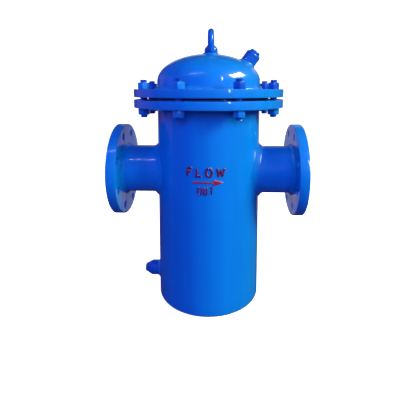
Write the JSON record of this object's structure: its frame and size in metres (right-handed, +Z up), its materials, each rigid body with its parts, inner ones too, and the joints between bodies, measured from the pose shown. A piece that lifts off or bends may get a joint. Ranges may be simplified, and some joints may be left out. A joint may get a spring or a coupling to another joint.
{
  "type": "basket strainer",
  "caption": "Welded straight-through basket strainer with flanged side nozzles, a bolted domed cover with a lifting eye, a vent, a drain and a lift-out basket.",
  "frame": {"origin": "centre of the flat bottom, on the surface that the strainer stands on", "axes": "+Z up along the vessel, +X from the inlet to the outlet along the nozzles"},
  "size_m": [0.45, 0.354, 0.65],
  "materials": {
    "blue_enamel": "gloss",
    "stainless_steel": "satin",
    "gasket_fibre": "matte",
    "marking_red": "satin"
  },
  "bodies": {
    "vessel": {"vessel_shell": "blue_enamel", "bottom_plate": "blue_enamel", "inlet_nozzle": "blue_enamel", "outlet_nozzle": "blue_enamel", "inlet_flange": "blue_enamel", "outlet_flange": "blue_enamel", "body_flange": "blue_enamel", "cover_gasket": "gasket_fibre", "basket_seat": "blue_enamel", "drain_socket": "blue_enamel", "flow_arrow": "marking_red", "stud_1": "blue_enamel", "stud_2": "blue_enamel", "stud_3": "blue_enamel", "stud_4": "blue_enamel", "stud_5": "blue_enamel", "stud_6": "blue_enamel", "stud_7": "blue_enamel", "stud_8": "blue_enamel", "lower_nut_1": "blue_enamel", "lower_nut_2": "blue_enamel", "lower_nut_3": "blue_enamel", "lower_nut_4": "blue_enamel", "lower_nut_5": "blue_enamel", "lower_nut_6": "blue_enamel", "lower_nut_7": "blue_enamel", "lower_nut_8": "blue_enamel"},
    "cover": {"cover_flange": "blue_enamel", "cover_dome": "blue_enamel", "lifting_pad": "blue_enamel", "lifting_eye_bolt": "blue_enamel", "eye_bolt_nut": "stainless_steel", "vent_socket": "blue_enamel"},
    "cover_nuts": {"upper_nut_1": "blue_enamel", "upper_nut_2": "blue_enamel", "upper_nut_3": "blue_enamel", "upper_nut_4": "blue_enamel", "upper_nut_5": "blue_enamel", "upper_nut_6": "blue_enamel", "upper_nut_7": "blue_enamel", "upper_nut_8": "blue_enamel"},
    "basket": {"basket_rim": "stainless_steel", "basket_screen": "stainless_steel", "basket_base": "stainless_steel", "basket_ear_front": "stainless_steel", "basket_ear_back": "stainless_steel"},
    "basket_bail": {"basket_handle": "stainless_steel"},
    "drain_seal": {"drain_washer": "blue_enamel"},
    "drain_screw": {"drain_plug": "blue_enamel"},
    "vent_seal": {"vent_washer": "blue_enamel"},
    "vent_screw": {"vent_plug": "blue_enamel"}
  },
  "joints": [
    {"name": "cover_lift", "type": "slide", "parent": "vessel", "child": "cover", "axis": [0, 0, 1], "range_m": [0, 0.6]},
    {"name": "cover_nuts_lift", "type": "slide", "parent": "vessel", "child": "cover_nuts", "axis": [0, 0, 1], "range_m": [0, 0.751]},
    {"name": "basket_lift", "type": "slide", "parent": "vessel", "child": "basket", "axis": [0, 0, 1], "range_m": [0, 0.481]},
    {"name": "basket_bail_swing", "type": "hinge", "parent": "basket", "child": "basket_bail", "pos_m": [0, 0, 0.3326], "axis": [0, 1, 0], "range_deg": [0, 183]},
    {"name": "drain_plug_travel", "type": "slide", "parent": "vessel", "child": "drain_seal", "axis": [-1, 0, 0], "range_m": [0, 0.013]},
    {"name": "drain_plug_turn", "type": "hinge", "parent": "drain_seal", "child": "drain_screw", "pos_m": [-0.1225, 0, 0.052], "axis": [-1, 0, 0], "range_deg": [0, 2520]},
    {"name": "vent_plug_travel", "type": "slide", "parent": "cover", "child": "vent_seal", "axis": [0.5878, 0, 0.809], "range_m": [0, 0.013]},
    {"name": "vent_plug_turn", "type": "hinge", "parent": "vent_seal", "child": "vent_screw", "pos_m": [0.0916, 0, 0.5675], "axis": [0.5878, 0, 0.809], "range_deg": [0, 2520]}
  ],
  "couplings": [
    {"joint": "cover_nuts_lift", "follows": "cover_lift", "ratio": 1.25},
    {"joint": "basket_lift", "follows": "cover_lift", "ratio": 0.8},
    {"joint": "drain_plug_travel", "follows": "drain_plug_turn", "m_per_rad": 0.00028871},
    {"joint": "vent_plug_travel", "follows": "vent_plug_turn", "m_per_rad": 0.00028871}
  ]
}
